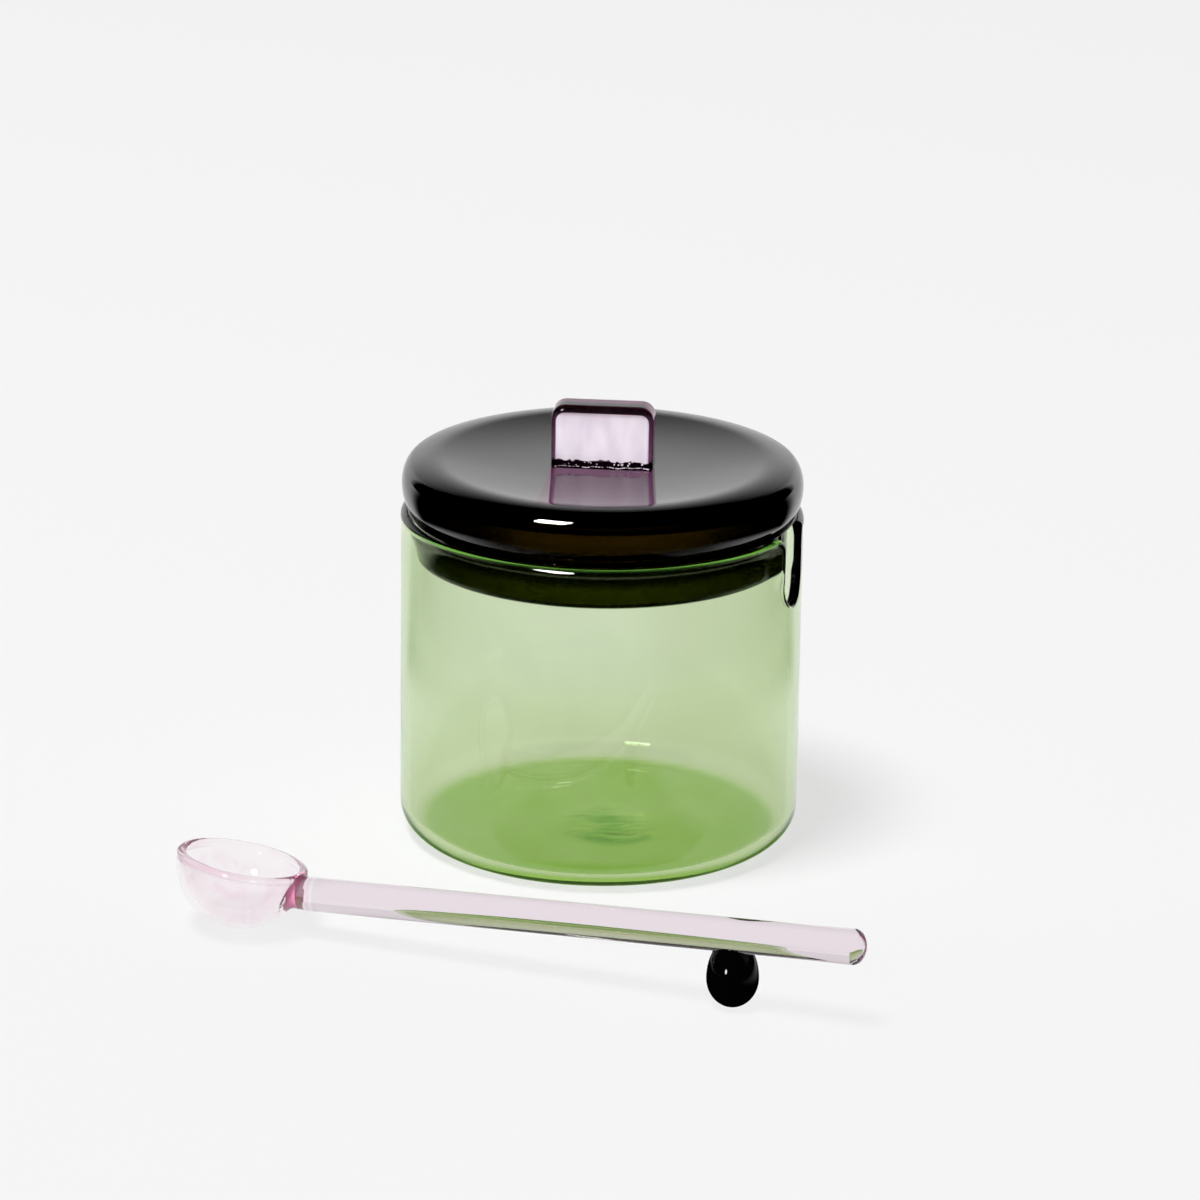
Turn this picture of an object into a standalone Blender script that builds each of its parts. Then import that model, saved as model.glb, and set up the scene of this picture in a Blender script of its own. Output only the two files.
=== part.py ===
# A round glass spice jar with a dark stopper lid and a long glass spoon beside it.
# Lengths are metres, +Z is up, and the origin is the centre of the jar's base.
import math

import bmesh
import bpy
from mathutils import Matrix

MM = 0.001

# Hairlines between pieces that rest on each other or are fused together
SEAT_GAP = 0.3 * MM
WELD_GAP = 0.3 * MM

# Jar: a blown tube with a round heel and a fire-polished rim
JAR_DIAMETER = 90 * MM
JAR_HEIGHT = 75 * MM
JAR_WALL = 2.2 * MM
JAR_FLOOR = 2.4 * MM
JAR_HEEL = 7 * MM
JAR_INNER_HEEL = 4.8 * MM
RIM_OUTSIDE = 0.4 * MM
RIM_INSIDE = 0.2 * MM

# Notch in the rim, where the spoon's rod lies under the lid's collar
NOTCH_BEARING = math.radians(-17.25)
NOTCH_SIDE_CLEARANCE = 1.9 * MM
NOTCH_HEADROOM = 0.3 * MM
NOTCH_FLARE = 3 * MM
NOTCH_MOUTH_RISE = 0.9 * MM
NOTCH_CUT_REACH = 4 * MM

# Lid: a blown dish with a bulging edge, a shoulder and an open collar
LID_INSET = 0.1 * MM
LID_WALL = 2.6 * MM
LID_EDGE_RISE = 5.1 * MM
LID_EDGE_DROP = 5 * MM
LID_EDGE_TOP = 2.9 * MM
LID_EDGE_UNDER = 2 * MM
LID_DISH_DEPTH = 1 * MM
LID_DISH_RISE = 1.56 * MM
LID_BROW_WIDTH = 7 * MM
LID_BROW_SLOPE = math.radians(18.4)
LID_GROOVE = 0.6 * MM
LID_SHOULDER = 0.6 * MM
COLLAR_DEPTH = 9.7 * MM
COLLAR_CLEARANCE = 1.1 * MM
COLLAR_FILLET = 0.4 * MM

# Handle: a rounded block on the dish
HANDLE_WIDTH = 22.8 * MM
HANDLE_THICKNESS = 8 * MM
HANDLE_HEIGHT = 13.9 * MM
HANDLE_ROUND = 2.2 * MM
HANDLE_TURN = math.radians(-5)

# Spoon: a deep round bowl, a neck, a rod and a bead that props the rod up
BOWL_RADIUS = 14.3 * MM
BOWL_DEPTH = 14.6 * MM
BOWL_WALL = 1.5 * MM
BOWL_PITCH = math.radians(7.5)
BOWL_ROLL = math.radians(-8.9)
NECK_REACH = 1.6 * MM
NECK_LIP = 0.2 * MM
NECK_TAPER = 0.4 * MM
ROD_LENGTH = 128 * MM
ROD_DIAMETER = 7.35 * MM
ROD_END_DIAMETER = 7.8 * MM
ROD_END_SWELL = 14 * MM
ROD_END_ROUND = 2.2 * MM
ROD_BELOW_RIM = 5.9 * MM
ROD_PITCH = math.radians(3.65)
BEAD_WIDTH = 11.1 * MM
BEAD_STATION = 113.5 * MM
BEAD_WAIST = 6.4 * MM
BEAD_SINK = 1.8 * MM

# Where the spoon lies: its rod passes in front of the jar, at a slant
SPOON_BEARING = math.radians(-21.8)
SPOON_ASIDE = 44.3 * MM
SPOON_LEAD = 46.9 * MM

# Facets around the large and the small round pieces
LARGE_STEPS = 60
SMALL_STEPS = 32

# Radii and heights that pieces share
JAR_RADIUS = JAR_DIAMETER / 2
JAR_INNER = JAR_RADIUS - JAR_WALL
RIM_ROUND = (JAR_WALL + RIM_OUTSIDE + RIM_INSIDE) / 2
RIM_CENTRE = JAR_RADIUS + RIM_OUTSIDE - RIM_ROUND
SEAT_HEIGHT = JAR_HEIGHT + SEAT_GAP
LID_RADIUS = JAR_RADIUS - LID_INSET
LID_EDGE_RADIUS = LID_RADIUS - LID_EDGE_TOP
LID_EDGE_START = math.atan2(LID_EDGE_RISE, LID_EDGE_TOP * math.tan(LID_BROW_SLOPE))
LID_DISH_REACH = LID_EDGE_RADIUS + LID_EDGE_TOP * math.cos(LID_EDGE_START) - LID_BROW_WIDTH
LID_WIDEST = SEAT_HEIGHT + LID_SHOULDER + LID_GROOVE + LID_EDGE_DROP
LID_MIDDLE = LID_WIDEST + LID_EDGE_RISE - LID_DISH_DEPTH
COLLAR_RADIUS = JAR_INNER - RIM_INSIDE - COLLAR_CLEARANCE
COLLAR_INNER = COLLAR_RADIUS - LID_WALL
COLLAR_BOTTOM = JAR_HEIGHT - COLLAR_DEPTH
NOTCH_WIDTH = ROD_END_DIAMETER + 2 * NOTCH_SIDE_CLEARANCE
NOTCH_BOTTOM = COLLAR_BOTTOM - NOTCH_HEADROOM - ROD_DIAMETER
BOWL_TILT = math.acos(math.cos(BOWL_PITCH) * math.cos(BOWL_ROLL))
BOWL_HEIGHT = math.hypot(BOWL_RADIUS * math.sin(BOWL_TILT), BOWL_DEPTH * math.cos(BOWL_TILT))
ROD_START = BOWL_RADIUS + NECK_REACH


def clear_scene():
    for item in list(bpy.data.objects):
        bpy.data.objects.remove(item, do_unlink=True)


def glass(name, colour, roughness):
    material = bpy.data.materials.new(name)
    material.use_nodes = True
    shader = material.node_tree.nodes["Principled BSDF"]
    shader.inputs["Base Color"].default_value = (*colour, 1)
    shader.inputs["Roughness"].default_value = roughness
    shader.inputs["Metallic"].default_value = 0
    material.diffuse_color = (*colour, 1)
    return material


def place(name, data, parent=None):
    item = bpy.data.objects.new(name, data)
    bpy.context.scene.collection.objects.link(item)
    item.parent = parent
    return item


# Points of an elliptical arc in radius and height, between two angles in degrees
def arc(centre, radii, start, end, steps):
    points = []
    for step in range(steps + 1):
        angle = math.radians(start + (end - start) * step / steps)
        points.append((centre[0] + radii[0] * math.cos(angle), centre[1] + radii[1] * math.sin(angle)))
    return points


# A solid turned about Z. The outline begins and ends on the axis and runs down its outer side.
def turned(name, outline, steps, material=None, parent=None):
    mesh = bpy.data.meshes.new(name)
    edges = [(index, index + 1) for index in range(len(outline) - 1)]
    mesh.from_pydata([(radius, 0, height) for radius, height in outline], edges, [])
    item = place(name, mesh, parent)
    if material:
        mesh.materials.append(material)
    screw = item.modifiers.new("Turn", "SCREW")
    screw.steps = steps
    screw.render_steps = steps
    screw.use_merge_vertices = True
    screw.merge_threshold = 0.000001
    screw.use_smooth_shade = True
    return item


def cut_away(item, cutter):
    cutter.hide_render = True
    cutter.display_type = "WIRE"
    cut = item.modifiers.new("Cut", "BOOLEAN")
    cut.operation = "DIFFERENCE"
    cut.object = cutter


# Inside floor, inside wall, round rim, outside wall and base
def make_jar():
    inner_turn = math.degrees(math.acos((RIM_CENTRE - JAR_INNER) / RIM_ROUND))
    outer_turn = math.degrees(math.acos((JAR_RADIUS - RIM_CENTRE) / RIM_ROUND))
    inner_heel = (JAR_INNER - JAR_INNER_HEEL, JAR_FLOOR + JAR_INNER_HEEL)
    outline = [(0, JAR_FLOOR)]
    outline += arc(inner_heel, (JAR_INNER_HEEL, JAR_INNER_HEEL), -90, 0, 4)
    outline += arc((RIM_CENTRE, JAR_HEIGHT - RIM_ROUND), (RIM_ROUND, RIM_ROUND), 180 + inner_turn, -outer_turn, 9)
    outline += arc((JAR_RADIUS - JAR_HEEL, JAR_HEEL), (JAR_HEEL, JAR_HEEL), 0, -90, 6)
    outline.append((0, 0))
    jar = turned("jar", outline, LARGE_STEPS, glass("green glass", (0.55, 0.66, 0.36), 0.05))
    cut_away(jar, make_notch_cutter())


# A U with a flared mouth, drawn on the wall and pushed through it along the radius
def make_notch_cutter():
    half = NOTCH_WIDTH / 2
    mouth = (half + NOTCH_FLARE, JAR_HEIGHT + NOTCH_MOUTH_RISE - NOTCH_FLARE)
    right = arc(mouth, (NOTCH_FLARE, NOTCH_FLARE), 90, 180, 4)
    left = [(-across, height) for across, height in reversed(right)]
    outline = right + arc((0, NOTCH_BOTTOM + half), (half, half), 0, -180, 12) + left
    shape = bmesh.new()
    near = JAR_INNER - NOTCH_CUT_REACH
    corners = [shape.verts.new((near, across, height)) for across, height in outline]
    face = shape.faces.new(corners)
    pushed = bmesh.ops.extrude_face_region(shape, geom=[face])
    moved = [part for part in pushed["geom"] if isinstance(part, bmesh.types.BMVert)]
    depth = JAR_WALL + RIM_OUTSIDE + 2 * NOTCH_CUT_REACH
    bmesh.ops.translate(shape, verts=moved, vec=(depth, 0, 0))
    bmesh.ops.recalc_face_normals(shape, faces=shape.faces)
    mesh = bpy.data.meshes.new("notch_cutter")
    shape.to_mesh(mesh)
    shape.free()
    cutter = place("notch_cutter", mesh)
    cutter.rotation_euler.z = NOTCH_BEARING
    return cutter


def dish_height(radius):
    return LID_MIDDLE + LID_DISH_RISE * (radius / LID_DISH_REACH) ** 3


# Dish, brow, bulging edge, groove, shoulder and collar, then back up the inside
def make_lid_shell(lid):
    dish = [(LID_DISH_REACH * step / 7, dish_height(LID_DISH_REACH * step / 7)) for step in range(7)]
    lean = math.atan(3 * LID_DISH_RISE / LID_DISH_REACH)
    bend = LID_BROW_WIDTH / (math.sin(lean) + math.sin(LID_BROW_SLOPE))
    middle = (LID_DISH_REACH + bend * math.sin(lean), dish_height(LID_DISH_REACH) - bend * math.cos(lean))
    brow = arc(middle, (bend, bend), 90 + math.degrees(lean), 90 - math.degrees(LID_BROW_SLOPE), 4)
    edge_start = math.degrees(LID_EDGE_START)
    edge = arc((LID_EDGE_RADIUS, LID_WIDEST), (LID_EDGE_TOP, LID_EDGE_RISE), edge_start, 0, 5)
    under_radius = LID_RADIUS - LID_EDGE_UNDER
    under = arc((under_radius, LID_WIDEST), (LID_EDGE_UNDER, LID_EDGE_DROP), 0, -90, 4)
    groove_height = SEAT_HEIGHT + LID_SHOULDER + LID_GROOVE / 2
    groove = arc((under_radius, groove_height), (LID_GROOVE / 2, LID_GROOVE / 2), 90, 270, 4)
    nose = arc((RIM_CENTRE, SEAT_HEIGHT + LID_SHOULDER / 2), (LID_SHOULDER / 2, LID_SHOULDER / 2), 90, -90, 4)
    corner = (COLLAR_RADIUS + COLLAR_FILLET, SEAT_HEIGHT - COLLAR_FILLET)
    fillet = arc(corner, (COLLAR_FILLET, COLLAR_FILLET), 90, 180, 2)
    lip = (COLLAR_RADIUS - LID_WALL / 2, COLLAR_BOTTOM + LID_WALL / 2)
    collar = arc(lip, (LID_WALL / 2, LID_WALL / 2), 0, -180, 6)
    hollow = arc((COLLAR_INNER, LID_WIDEST), (LID_RADIUS - LID_WALL - COLLAR_INNER, LID_EDGE_DROP), -90, 0, 4)
    crown = max(LID_EDGE_RISE - LID_WALL, WELD_GAP)
    ceiling = arc((LID_RADIUS - LID_WALL - crown, LID_WIDEST), (crown, crown), 0, 90, 3)
    outline = dish + brow + edge[1:] + under[1:] + groove[1:] + nose + fillet + collar + hollow + ceiling[1:]
    outline.append((0, dish_height(0) - LID_WALL))
    turned("lid_shell", outline, LARGE_STEPS, glass("black glass", (0.012, 0.009, 0.007), 0.04), lid)


# A rounded block that stands on the dish, just clear of it
def make_lid_handle(lid):
    shape = bmesh.new()
    bmesh.ops.create_cube(shape, size=1)
    bmesh.ops.scale(shape, vec=(HANDLE_WIDTH, HANDLE_THICKNESS, HANDLE_HEIGHT), verts=shape.verts)
    mesh = bpy.data.meshes.new("lid_handle")
    shape.to_mesh(mesh)
    shape.free()
    mesh.shade_smooth()
    mesh.materials.append(glass("lilac glass", (0.8, 0.66, 0.82), 0.05))
    handle = place("lid_handle", mesh, lid)
    foot = dish_height(math.hypot(HANDLE_WIDTH, HANDLE_THICKNESS) / 2) + WELD_GAP
    handle.location.z = foot + HANDLE_HEIGHT / 2
    handle.rotation_euler.z = HANDLE_TURN
    rounding = handle.modifiers.new("Round", "BEVEL")
    rounding.width = HANDLE_ROUND
    rounding.segments = 4
    rounding.limit_method = "NONE"


def tilt_bowl(item):
    item.location.z = BOWL_HEIGHT
    item.rotation_euler = (BOWL_ROLL, BOWL_PITCH, 0)


def make_spoon_bowl(spoon, material):
    inside = arc((0, 0), (BOWL_RADIUS - BOWL_WALL, BOWL_DEPTH - BOWL_WALL), -90, 0, 9)
    rim = arc((BOWL_RADIUS - BOWL_WALL / 2, 0), (BOWL_WALL / 2, BOWL_WALL / 2), 180, 0, 5)
    outside = arc((0, 0), (BOWL_RADIUS, BOWL_DEPTH), 0, -90, 9)
    inside[0] = (0, BOWL_WALL - BOWL_DEPTH)
    outside[-1] = (0, -BOWL_DEPTH)
    bowl = turned("spoon_bowl", inside + rim[1:-1] + outside, SMALL_STEPS, material, spoon)
    tilt_bowl(bowl)


# The outside of the bowl with the weld's hairline, drawn up past the neck
def make_bowl_cutter(spoon):
    wide = BOWL_RADIUS + WELD_GAP
    outline = [(0, ROD_DIAMETER), (wide, ROD_DIAMETER)]
    outline += arc((0, 0), (wide, BOWL_DEPTH + WELD_GAP), 0, -90, 9)
    outline[-1] = (0, -BOWL_DEPTH - WELD_GAP)
    cutter = turned("bowl_cutter", outline, SMALL_STEPS, None, spoon)
    tilt_bowl(cutter)
    return cutter


# Height of the rod's axis above the table, at a distance along the spoon from the bowl's middle
def rod_height(along):
    return BOWL_HEIGHT - ROD_BELOW_RIM + along * math.tan(ROD_PITCH)


# Lays a piece that was turned about Z along the rod, with its zero at a distance along the spoon
def lay_along_rod(item, along):
    item.location = (along, 0, rod_height(along))
    item.rotation_euler.y = math.pi / 2 - ROD_PITCH


# The weld between the bowl and the rod, hollowed to the bowl's curve
def make_spoon_neck(spoon, material):
    wide = ROD_END_DIAMETER / 2 + NECK_LIP
    inner_end = -BOWL_RADIUS / 2
    outline = [(0, -WELD_GAP), (wide, -WELD_GAP), (wide - NECK_TAPER, inner_end), (0, inner_end)]
    neck = turned("spoon_neck", outline, SMALL_STEPS, material, spoon)
    lay_along_rod(neck, ROD_START)
    cut_away(neck, make_bowl_cutter(spoon))


def rod_radius(along):
    from_end = min(along, ROD_LENGTH - along)
    swell = max(0, 1 - from_end / ROD_END_SWELL)
    return (ROD_DIAMETER + (ROD_END_DIAMETER - ROD_DIAMETER) * swell ** 2) / 2


def make_spoon_rod(spoon, material):
    dome = ROD_LENGTH - ROD_END_ROUND
    outline = arc((0, dome), (rod_radius(dome), ROD_END_ROUND), 90, 0, 5)
    outline[0] = (0, ROD_LENGTH)
    stations = [ROD_LENGTH - ROD_END_SWELL * step / 3 for step in (1, 2, 3)]
    stations += [ROD_END_SWELL * step / 3 for step in (3, 2, 1, 0)]
    outline += [(rod_radius(along), along) for along in stations]
    outline.append((0, 0))
    rod = turned("spoon_rod", outline, SMALL_STEPS, material, spoon)
    lay_along_rod(rod, ROD_START)


# An egg that stands on the table and is saddled to the rod's underside
def make_spoon_bead(spoon):
    top = rod_height(BEAD_STATION) - ROD_DIAMETER / 2 + BEAD_SINK
    outline = arc((0, BEAD_WAIST), (BEAD_WIDTH / 2, top - BEAD_WAIST), 90, 0, 6)
    outline += arc((0, BEAD_WAIST), (BEAD_WIDTH / 2, BEAD_WAIST), 0, -90, 6)[1:]
    outline[0] = (0, top)
    outline[-1] = (0, 0)
    bead = turned("spoon_bead", outline, SMALL_STEPS, glass("black bead", (0.01, 0.01, 0.01), 0.04), spoon)
    bead.location.x = BEAD_STATION
    saddle = ROD_DIAMETER / 2 + WELD_GAP
    length = BEAD_WIDTH
    cylinder = [(0, length), (saddle, length), (saddle, -length), (0, -length)]
    cutter = turned("rod_cutter", cylinder, SMALL_STEPS, None, spoon)
    lay_along_rod(cutter, BEAD_STATION)
    cut_away(bead, cutter)


# The empty that the loose lid's pieces hang on, on the jar's axis
def make_lid():
    lid = place("lid", None)
    make_lid_handle(lid)
    make_lid_shell(lid)


# The empty that the spoon's pieces hang on, under the middle of the bowl
def make_spoon():
    spoon = place("spoon", None)
    turn = Matrix.Rotation(SPOON_BEARING, 4, "Z")
    aside = JAR_RADIUS + SPOON_ASIDE
    spoon.matrix_world = turn @ Matrix.Translation((-SPOON_LEAD, -aside, 0))
    pink = glass("pink glass", (0.9, 0.78, 0.86), 0.05)
    make_spoon_bowl(spoon, pink)
    make_spoon_neck(spoon, glass("rose glass", (0.72, 0.3, 0.45), 0.05))
    make_spoon_rod(spoon, glass("pale glass", (0.88, 0.82, 0.87), 0.05))
    make_spoon_bead(spoon)


clear_scene()
make_jar()
make_lid()
make_spoon()
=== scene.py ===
import math
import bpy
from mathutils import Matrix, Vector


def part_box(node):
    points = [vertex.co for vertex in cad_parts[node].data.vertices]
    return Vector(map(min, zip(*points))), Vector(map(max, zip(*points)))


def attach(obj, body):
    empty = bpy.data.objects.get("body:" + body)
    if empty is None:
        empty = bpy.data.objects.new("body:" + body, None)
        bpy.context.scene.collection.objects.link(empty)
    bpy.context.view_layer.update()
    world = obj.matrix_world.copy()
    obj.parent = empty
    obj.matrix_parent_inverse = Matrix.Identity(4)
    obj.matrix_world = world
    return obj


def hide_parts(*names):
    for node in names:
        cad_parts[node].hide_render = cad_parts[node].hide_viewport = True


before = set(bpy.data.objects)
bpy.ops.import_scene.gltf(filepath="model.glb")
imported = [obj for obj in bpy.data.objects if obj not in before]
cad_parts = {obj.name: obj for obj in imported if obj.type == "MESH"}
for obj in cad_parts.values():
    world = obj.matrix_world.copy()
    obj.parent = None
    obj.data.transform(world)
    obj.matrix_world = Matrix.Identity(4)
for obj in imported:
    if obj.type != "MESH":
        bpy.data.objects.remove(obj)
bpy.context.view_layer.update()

from types import SimpleNamespace as named

import bmesh
import bpy
import numpy as np
from mathutils import Matrix, Vector
from mathutils.geometry import delaunay_2d_cdt

mm = 0.001
scene = bpy.context.scene
scene.view_settings.view_transform = "Standard"
scene.cycles.max_bounces = 48  # light turns round many times inside thick glass
scene.cycles.transmission_bounces = 40
scene.cycles.glossy_bounces = 40


# small helpers for node trees, meshes and outlines

def setInputs(node, inputs):
    for key, value in inputs.items():
        if isinstance(value, bpy.types.NodeSocket):
            node.id_data.links.new(value, node.inputs[key])
        else:
            node.inputs[key].default_value = value


def addNode(tree, kind, inputs=None, **settings):
    node = tree.nodes.new(kind)
    for key, value in settings.items():
        setattr(node, key, value)
    setInputs(node, inputs or {})
    return node


def addOut(tree, kind, inputs=None, **settings):  # a node's first output
    return addNode(tree, kind, inputs, **settings).outputs[0]


def addMath(operation, *values):  # in the tree of the first value
    return addOut(values[0].id_data, "ShaderNodeMath", dict(enumerate(values)), operation=operation)


def times(first, *others):
    for other in others:
        first = addMath("MULTIPLY", first, other)
    return first


def largest(first, second):
    return addMath("MAXIMUM", first, second)


def noise(place, scale, detail, distortion=0.0):
    inputs = {"Vector": place, "Scale": scale, "Detail": detail, "Distortion": distortion}
    return addOut(place.id_data, "ShaderNodeTexNoise", inputs)


def spread(value, ends, results=(0.0, 1.0)):  # a straight ramp, held at both ends
    return addOut(value.id_data, "ShaderNodeMapRange", dict(enumerate((value, *ends, *results))))


def fade(value, ends, unit=mm):  # a soft ramp from 0 to 1, with its ends in millimetres
    inputs = dict(enumerate((value, ends[0] * unit, ends[1] * unit, 0.0, 1.0)))
    return addOut(value.id_data, "ShaderNodeMapRange", inputs, interpolation_type="SMOOTHSTEP")


def mixColour(mask, first, second):
    ends = [item if isinstance(item, bpy.types.NodeSocket) else (*item, 1) for item in (first, second)]
    inputs = {0: mask, 6: ends[0], 7: ends[1]}
    return addNode(mask.id_data, "ShaderNodeMix", inputs, data_type="RGBA").outputs[2]


def objectPlace(tree):  # object coordinates, whole and by axis
    place = addNode(tree, "ShaderNodeTexCoord").outputs["Object"]
    return place, addNode(tree, "ShaderNodeSeparateXYZ", {0: place}).outputs


def spanOf(place, centre, share, turn=(0, 0, 0)):  # distance from a centre, in a turned and scaled frame
    tree = place.id_data
    inputs = {"Vector": place, "Location": [value * mm for value in centre], "Rotation": turn}
    local = addOut(tree, "ShaderNodeMapping", inputs, vector_type="TEXTURE")
    local = addOut(tree, "ShaderNodeVectorMath", {0: local, 1: share}, operation="MULTIPLY")
    return addNode(tree, "ShaderNodeVectorMath", {0: local}, operation="LENGTH").outputs["Value"]


def newMaterial(name):
    material = bpy.data.materials.new(name)
    material.use_nodes = True
    return material, material.node_tree


def arc(centre, radii, start, end, steps):  # one radius, or one across and one up
    wide, tall = np.broadcast_to(radii, 2)
    turns = np.radians(np.linspace(start, end, steps + 1))
    return [(centre[0] + wide * math.cos(turn), centre[1] + tall * math.sin(turn)) for turn in turns]


def turned(degrees, axis="Z"):
    return Matrix.Rotation(math.radians(degrees), 4, axis)


def placeMesh(name, mesh):
    piece = bpy.data.objects.new(name, mesh)
    scene.collection.objects.link(piece)
    return piece


def newMesh(name, points, edges, faces):
    mesh = bpy.data.meshes.new(name)
    mesh.from_pydata(points, edges, faces)
    return mesh


def nodeBox(name):  # lowest and highest corner of a CAD node, in millimetres
    low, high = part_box(name)
    return np.array(low) / mm, np.array(high) / mm


# glass: one shader group for what hand work leaves on every surface

handMarks = named(drawn=(0.06, 0.06, 1.0), smearScale=95.0, smearEnds=(0.45, 0.75),
                  smear=(0.975, 0.98, 0.972))
handInputs = ("Wave Scale", "Draw Scale", "Draw Share", "Haze")  # a finish gives handWork in this order


def makeHandWork():
    group = bpy.data.node_groups.new("handWorkedGlass", "ShaderNodeTree")
    for name in handInputs:
        group.interface.new_socket(name, in_out="INPUT", socket_type="NodeSocketFloat")
    for name, kind in (("Clearness", "Color"), ("Roughness", "Float"), ("Height", "Float")):
        group.interface.new_socket(name, in_out="OUTPUT", socket_type="NodeSocket" + kind)
    given = addNode(group, "NodeGroupInput").outputs
    place = addNode(group, "ShaderNodeTexCoord").outputs["Object"]
    wave = noise(place, given["Wave Scale"], 1.0)
    flat = addOut(group, "ShaderNodeMapping", {"Vector": place, "Scale": handMarks.drawn})
    draw = noise(flat, given["Draw Scale"], 2.0)
    smear = spread(noise(place, handMarks.smearScale, 3.0), handMarks.smearEnds)
    addNode(group, "NodeGroupOutput", {
        "Clearness": mixColour(smear, (1, 1, 1), handMarks.smear),
        "Roughness": times(smear, given["Haze"]),
        "Height": addMath("MULTIPLY_ADD", draw, given["Draw Share"], wave),
    })
    return group


handWork = makeHandWork()
plainGlass = named(clear=1.0, body=None, bend=1.47, shine=0.5, mirror=1.0, thin=8)  # what a finish leaves out


def makeGlass(name, finish):
    finish = named(**vars(plainGlass) | vars(finish))
    material, tree = newMaterial(name)
    work = dict(zip(handInputs, finish.handWork))
    work = addNode(tree, "ShaderNodeGroup", work, node_tree=handWork).outputs
    wave = {"Height": work["Height"], "Distance": finish.waveDepth * mm}
    shader = tree.nodes["Principled BSDF"]
    setInputs(shader, {
        "Transmission Weight": finish.clear, "IOR": finish.bend, "Specular IOR Level": finish.shine,
        "Specular Tint": (*[finish.mirror] * 3, 1), "Base Color": work["Clearness"],
        "Roughness": work["Roughness"], "Normal": addOut(tree, "ShaderNodeBump", wave)})
    if finish.body:  # opaque glass
        colours = {0: 1.0, 6: work["Clearness"], 7: (*finish.body, 1)}
        colour = addNode(tree, "ShaderNodeMix", colours, data_type="RGBA", blend_type="MULTIPLY").outputs[2]
        setInputs(shader, {"Base Color": colour})
        return material
    soak = np.array(finish.soakPerMm) / mm  # light lost in each metre of glass, red green blue
    density = finish.thin * soak.max()
    volume = {"Color": (*(1 - soak / density), 1), "Density": density}
    setInputs(tree.nodes["Material Output"], {"Volume": addOut(tree, "ShaderNodeVolumeAbsorption", volume)})
    return material


def deepen(mask, colour):  # deeper colour where the mask is 1
    shader = mask.id_data.nodes["Principled BSDF"]
    before = shader.inputs["Base Color"].links[0].from_socket
    setInputs(shader, {"Base Color": mixColour(mask, before, colour)})


# Geometry Nodes: sockets by name, and the mesh that a tree makes of a piece

def newTree(name, inputs):
    tree = bpy.data.node_groups.new(name, "GeometryNodeTree")
    for title, kind in inputs.items():
        tree.interface.new_socket(title, in_out="INPUT", socket_type="NodeSocket" + kind)
    tree.interface.new_socket("Result", in_out="OUTPUT", socket_type="NodeSocketGeometry")
    return tree, addNode(tree, "NodeGroupInput").outputs


def endTree(tree, geometry, glass):
    geometry = addOut(tree, "GeometryNodeRealizeInstances", {"Geometry": geometry})
    geometry = addOut(tree, "GeometryNodeSetMaterial", {"Geometry": geometry, "Material": glass})
    addNode(tree, "NodeGroupOutput", {"Result": geometry})
    return tree


def runTree(piece, tree, values):
    keys = {item.name: item.identifier for item in tree.interface.items_tree if item.in_out == "INPUT"}
    working = piece.modifiers.new(tree.name, "NODES")
    working.node_group = tree
    for title, value in values.items():
        working[keys[title]] = value
    mesh = bpy.data.meshes.new_from_object(piece.evaluated_get(bpy.context.evaluated_depsgraph_get()))
    piece.modifiers.remove(working)
    return mesh


# turning: a tree that turns the points of an outline about Z

turnSet = named(segments=192, weld=0.002, join=0.006)


def makeTurnTree():
    tree, given = newTree("turnOutline", {"Outline": "Geometry", "Segments": "Int", "Glass": "Material"})
    size = addNode(tree, "GeometryNodeAttributeDomainSize", {"Geometry": given["Outline"]}, component="MESH")
    rows = size.outputs["Point Count"]
    columns = addMath("ADD", given["Segments"], 1.0)
    grid = {"Size X": 1.0, "Size Y": 1.0, "Vertices X": columns, "Vertices Y": rows}
    grid = addOut(tree, "GeometryNodeMeshGrid", grid)
    position = addOut(tree, "GeometryNodeInputPosition")
    place = addNode(tree, "ShaderNodeSeparateXYZ", {0: position}).outputs
    turn = addMath("MULTIPLY_ADD", place["X"], math.tau, math.pi)
    last = addMath("SUBTRACT", rows, 1.0)
    row = addMath("MULTIPLY_ADD", addMath("ADD", place["Y"], 0.5), last, 0.5)
    point = {"Geometry": given["Outline"], "Value": position, "Index": row}
    point = addOut(tree, "GeometryNodeSampleIndex", point, data_type="FLOAT_VECTOR", domain="POINT")
    spun = addOut(tree, "ShaderNodeVectorRotate", {"Vector": point, "Angle": turn}, rotation_type="Z_AXIS")
    skin = addOut(tree, "GeometryNodeSetPosition", {"Geometry": grid, "Position": spun})
    skin = addOut(tree, "GeometryNodeMergeByDistance", {"Geometry": skin, "Distance": turnSet.weld * mm})
    skin = addOut(tree, "GeometryNodeSetShadeSmooth", {"Geometry": skin})
    return endTree(tree, skin, given["Glass"])


turnTree = makeTurnTree()


def turnOutline(name, outline, glass):
    points = [(radius * mm, 0, height * mm) for radius, height in outline]
    piece = placeMesh(name, newMesh(name + "Outline", points, [], []))
    piece.data = runTree(piece, turnTree, {"Segments": turnSet.segments, "Glass": glass})
    piece.data.name = name
    return piece


def closeMesh(mesh, glass, parts=()):  # joins meshes, merges what meets and turns all faces outwards
    work = bmesh.new()
    for part in (mesh, *parts):
        work.from_mesh(part)
    bmesh.ops.remove_doubles(work, verts=work.verts, dist=turnSet.join * mm)
    bmesh.ops.recalc_face_normals(work, faces=work.faces)
    for face in work.faces:
        face.smooth = True
        face.material_index = 0
    work.to_mesh(mesh)
    work.free()
    mesh.materials.clear()
    mesh.materials.append(glass)


# molten shapes: a skin is drawn where a distance field is zero, in millimetres

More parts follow.
